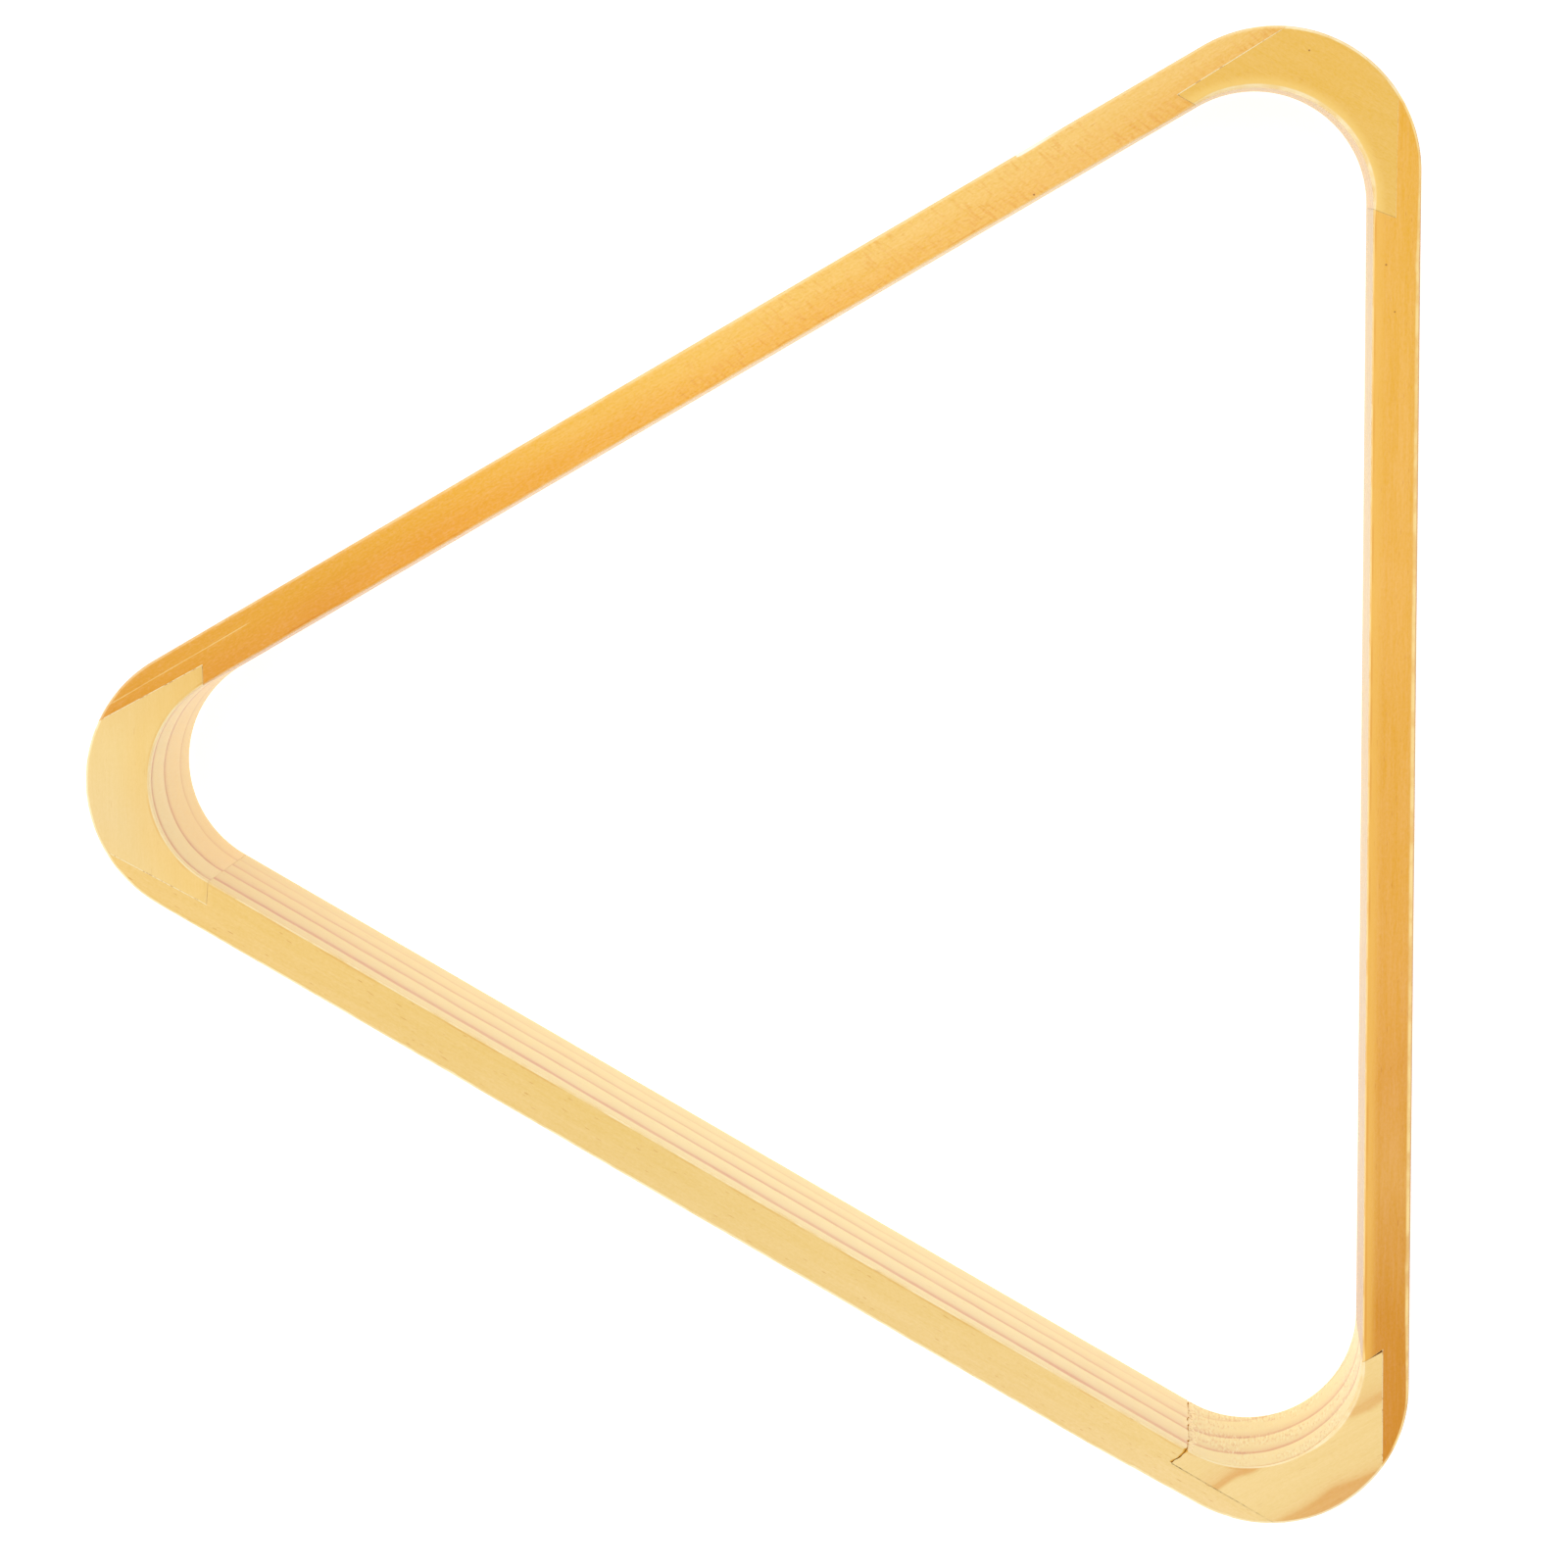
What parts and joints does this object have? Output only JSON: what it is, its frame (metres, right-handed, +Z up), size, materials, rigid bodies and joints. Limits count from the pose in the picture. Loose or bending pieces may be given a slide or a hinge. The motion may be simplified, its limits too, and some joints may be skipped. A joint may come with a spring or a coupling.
{
  "type": "triangle rack",
  "caption": "Rounded wooden triangle frame that gathers pool balls into a packed triangle: straight rails lap-jointed to curved corner blocks.",
  "frame": {"origin": "centre of the rack's plan box, on the plane that the rack lies on", "axes": "+X along the base rail, towards the right corner block; +Y from the base rail towards the apex block; +Z up, through the ball space"},
  "size_m": [0.3202, 0.2854, 0.045],
  "materials": {
    "pine_rail_base": "amber pine under clear satin lacquer",
    "pine_rail_left": "pale pine under clear satin lacquer",
    "pine_rail_right": "amber pine under clear satin lacquer",
    "pine_block_apex": "pale pine under clear satin lacquer",
    "pine_block_left": "pale pine with broad orange growth bands under clear satin lacquer",
    "pine_block_right": "honey pine under clear satin lacquer"
  },
  "bodies": {
    "root": {"rail_base": "pine_rail_base", "rail_left": "pine_rail_left", "rail_right": "pine_rail_right", "block_apex": "pine_block_apex", "block_left": "pine_block_left", "block_right": "pine_block_right"}
  },
  "joints": []
}
